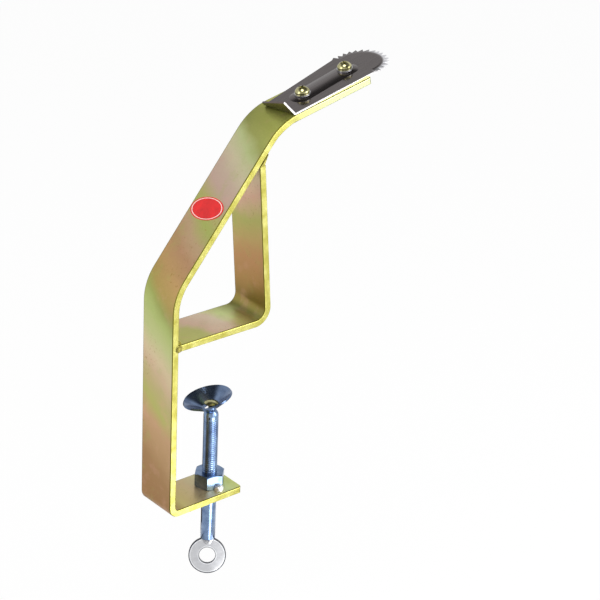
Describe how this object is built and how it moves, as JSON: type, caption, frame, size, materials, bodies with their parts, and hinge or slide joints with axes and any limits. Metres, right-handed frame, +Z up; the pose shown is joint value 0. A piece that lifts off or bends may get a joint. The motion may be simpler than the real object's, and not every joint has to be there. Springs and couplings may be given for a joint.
{
  "type": "table clamp coconut scraper",
  "caption": "Bent flat-bar arm that clamps to a table edge with a screw and swivel cup, carrying a toothed scraper blade for coconut.",
  "frame": {"origin": "on the clamp screw's axis, in the jaw's underside, which is the face that rests on the table", "axes": "+Z up along the clamp screw, +X forwards from the post to the blade, +Y across the bar to its left side"},
  "size_m": [0.1812, 0.0406, 0.3429],
  "materials": {
    "yellow_zinc": "yellow chromated zinc plating, iridescent green and pink",
    "weld": "plated weld metal, dull",
    "blue_zinc": "blue bright zinc plating",
    "pale_steel": "pale plated steel, semi-bright",
    "yellow_screws": "yellow chromated zinc plating, bright",
    "blade_steel": "dark polished stainless steel",
    "label": "glossy printed film"
  },
  "bodies": {
    "frame": {"main_bar": "yellow_zinc", "brace_bar": "yellow_zinc", "jaw_weld": "weld", "arm_weld": "weld", "clamp_nut": "blue_zinc", "nut_welds": "pale_steel", "blade": "blade_steel", "blade_screw_rear": "yellow_screws", "blade_screw_front": "yellow_screws", "blade_washer_rear": "pale_steel", "blade_washer_front": "pale_steel", "blade_nut_rear": "yellow_screws", "blade_nut_front": "yellow_screws", "oval_label": "label"},
    "rivet": {"cup_rivet": "yellow_screws"},
    "screw": {"clamp_screw": "blue_zinc", "eye_ring": "pale_steel", "eye_weld": "pale_steel"},
    "cup": {"swivel_cup": "blue_zinc"}
  },
  "joints": [
    {"name": "clamp_travel", "type": "slide", "parent": "frame", "child": "rivet", "axis": [0, 0, 1], "range_m": [-0.045, 0.012]},
    {"name": "screw_turn", "type": "hinge", "parent": "rivet", "child": "screw", "pos_m": [0, 0, 0], "axis": [0, 0, 1], "range_deg": [-10800, 2880]},
    {"name": "cup_tilt", "type": "hinge", "parent": "rivet", "child": "cup", "pos_m": [0, 0, -0.06141], "axis": [-0.6561, -0.7547, 0], "range_deg": [-30, 0]}
  ],
  "couplings": [
    {"joint": "screw_turn", "follows": "clamp_travel", "rad_per_m": 4188.8}
  ]
}
